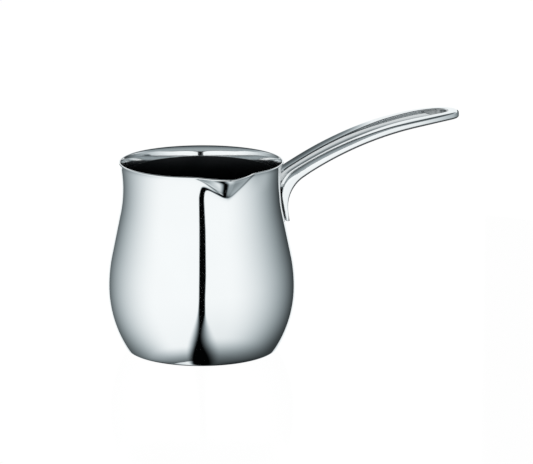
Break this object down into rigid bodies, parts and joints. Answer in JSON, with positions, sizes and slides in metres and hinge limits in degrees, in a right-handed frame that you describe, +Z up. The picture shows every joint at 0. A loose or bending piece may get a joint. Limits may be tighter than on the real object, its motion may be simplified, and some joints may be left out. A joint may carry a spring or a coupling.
{
  "type": "cezve",
  "caption": "Polished stainless-steel Turkish coffee pot with a bell-shaped body, a pressed pouring lip and a long arched loop handle with a sunk channel and hanging slot.",
  "frame": {"origin": "centre of the flat underside of the pot, on the surface that it stands on", "axes": "+Z up along the pot's axis, +X along the handle away from the pot, -Y towards the pouring lip"},
  "size_m": [0.1741, 0.0906, 0.1067],
  "materials": {
    "polished_steel_body": "mirror-polished stainless steel",
    "polished_steel_handle": "mirror-polished stainless steel",
    "polished_steel_strip": "polished stainless steel",
    "weld_metal": "fused steel"
  },
  "bodies": {
    "root": {"pot_body": "polished_steel_body", "handle_rail": "polished_steel_handle", "handle_channel_strip": "polished_steel_strip", "spot_welds": "weld_metal"}
  },
  "joints": []
}
